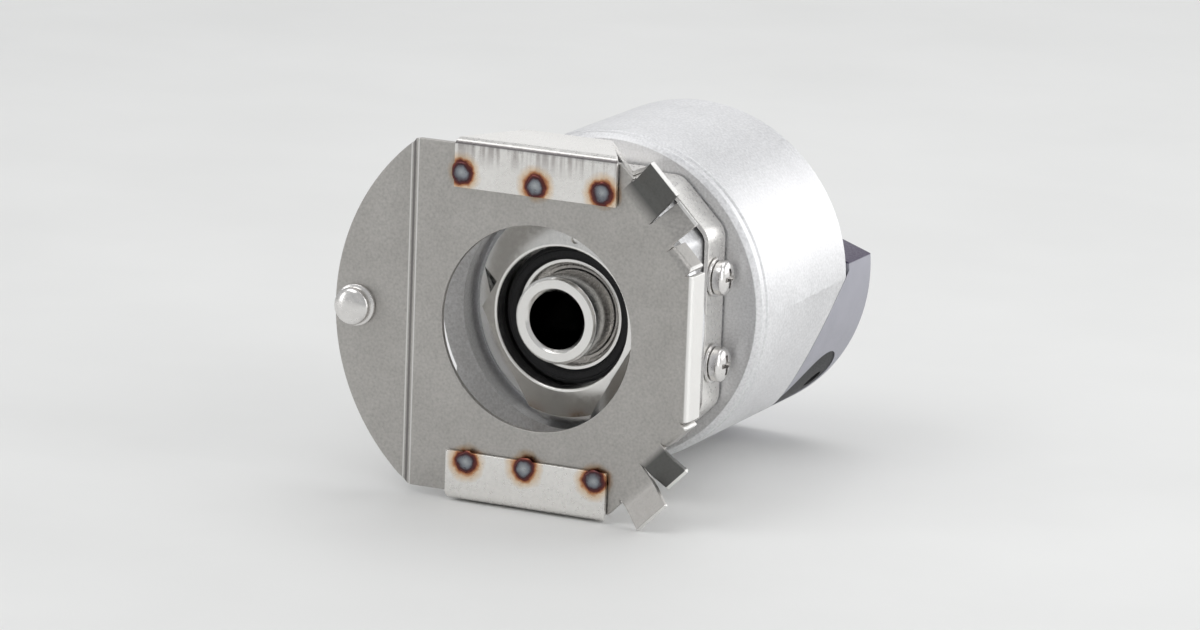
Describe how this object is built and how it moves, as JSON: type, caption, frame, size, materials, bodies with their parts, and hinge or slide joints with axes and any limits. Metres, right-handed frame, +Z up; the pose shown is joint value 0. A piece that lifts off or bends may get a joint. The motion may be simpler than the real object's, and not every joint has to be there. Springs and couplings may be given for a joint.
{
  "type": "rotary encoder",
  "caption": "Hollow-shaft rotary encoder in a round aluminium housing, with a sheet-metal stator coupling and a torque pin that stop the housing from turning.",
  "frame": {"origin": "centre of the hollow shaft's front mouth, on the shaft axis", "axes": "+Y along the shaft axis from the motor side to the rear cap; +Z up, towards the top bracket; the torque pin is at -X"},
  "size_m": [0.0668, 0.0785, 0.063],
  "materials": {
    "coupling_sheet": "satin spring steel sheet",
    "bracket_sheet": "bright spring steel sheet with a fine grain",
    "bright_steel": "plain bright steel",
    "polished_steel": "polished stainless steel",
    "satin_aluminium": "fine blasted satin",
    "black_rubber": "matt",
    "black_plastic": "matt moulded",
    "cap_grey": "dull grey satin",
    "board_green": "circuit board",
    "board_brass": "plain turned",
    "disc_glass": "clear with a fine track"
  },
  "bodies": {
    "stator": {"coupling_plate": "coupling_sheet", "top_bracket": "bracket_sheet", "bottom_bracket": "bracket_sheet", "spring_hoop": "bracket_sheet", "torque_pin": "bright_steel", "front_flange": "satin_aluminium", "seal_nut": "polished_steel", "shaft_seal": "black_rubber", "seal_sleeve": "polished_steel", "bearing_spacer": "bright_steel", "wave_spring": "bright_steel", "led_block": "black_plastic", "sensor_chip": "black_plastic", "sensor_board": "board_green", "main_board": "board_green", "housing_o_ring": "black_rubber", "housing": "satin_aluminium", "cap_gasket": "black_rubber", "rear_cap": "cap_grey", "cable_grommet": "black_rubber", "hoop_washer_1": "bright_steel", "hoop_screw_1": "bright_steel", "hoop_washer_2": "bright_steel", "hoop_screw_2": "bright_steel", "hoop_washer_3": "bright_steel", "hoop_screw_3": "bright_steel", "hoop_washer_4": "bright_steel", "hoop_screw_4": "bright_steel", "front_bearing_outer": "bright_steel", "rear_bearing_outer": "bright_steel", "board_post_1": "board_brass", "board_spacer_1": "board_brass", "board_screw_1": "bright_steel", "cap_screw_1": "bright_steel", "board_post_2": "board_brass", "board_spacer_2": "board_brass", "board_screw_2": "bright_steel", "cap_screw_2": "bright_steel", "board_post_3": "board_brass", "board_spacer_3": "board_brass", "board_screw_3": "bright_steel", "cap_screw_3": "bright_steel"},
    "rotor": {"hollow_shaft": "polished_steel", "front_bearing_inner": "bright_steel", "rear_bearing_inner": "bright_steel", "circlip": "bright_steel", "disc_hub": "satin_aluminium", "code_disc": "disc_glass", "disc_clamp": "board_brass"},
    "front_cage": {"front_bearing_balls": "bright_steel"},
    "rear_cage": {"rear_bearing_balls": "bright_steel"}
  },
  "joints": [
    {"name": "shaft_turn", "type": "hinge", "parent": "stator", "child": "rotor", "pos_m": [0, 0.02, 0], "axis": [0, 1, 0], "continuous": true},
    {"name": "front_cage_turn", "type": "hinge", "parent": "stator", "child": "front_cage", "pos_m": [0, 0.0149, 0], "axis": [0, 1, 0], "continuous": true},
    {"name": "rear_cage_turn", "type": "hinge", "parent": "stator", "child": "rear_cage", "pos_m": [0, 0.0321, 0], "axis": [0, 1, 0], "continuous": true}
  ],
  "couplings": [
    {"joint": "front_cage_turn", "follows": "shaft_turn", "ratio": 0.45128},
    {"joint": "rear_cage_turn", "follows": "shaft_turn", "ratio": 0.45128}
  ]
}
